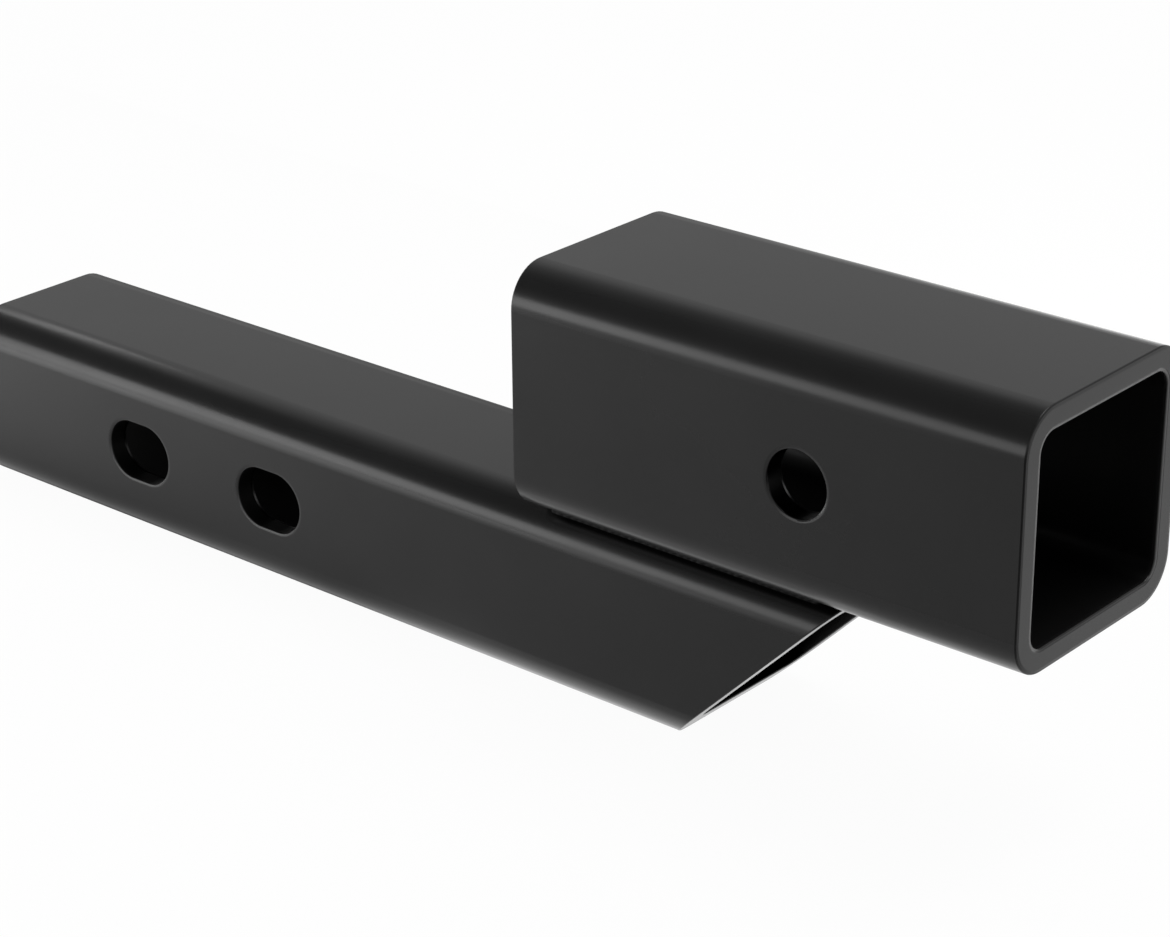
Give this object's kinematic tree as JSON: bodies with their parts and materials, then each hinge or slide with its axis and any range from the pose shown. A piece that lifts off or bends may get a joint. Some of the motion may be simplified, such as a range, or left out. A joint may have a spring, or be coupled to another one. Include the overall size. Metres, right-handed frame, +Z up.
{
  "type": "hitch extender",
  "caption": "Square steel shank with slotted pin holes and a mitred end, with a larger square receiver tube welded along its top, to extend and raise a towing hitch receiver.",
  "frame": {"origin": "under the middle of the whole length, in the plane of the shank's flat underside, which the part stands on, and in its middle plane", "axes": "+X along both tubes towards the receiver's open mouth, +Z up from the shank to the receiver, +Y across, along the hitch pins"},
  "size_m": [0.3556, 0.0636, 0.1143],
  "materials": {
    "black_powder_coat": "satin black powder coat over mild steel, finely textured, a little glossy on the tubes' rounded corners"
  },
  "bodies": {
    "root": {"shank_tube": "black_powder_coat", "receiver_tube": "black_powder_coat", "side_weld_left": "black_powder_coat", "side_weld_right": "black_powder_coat", "rear_weld": "black_powder_coat"}
  },
  "joints": []
}
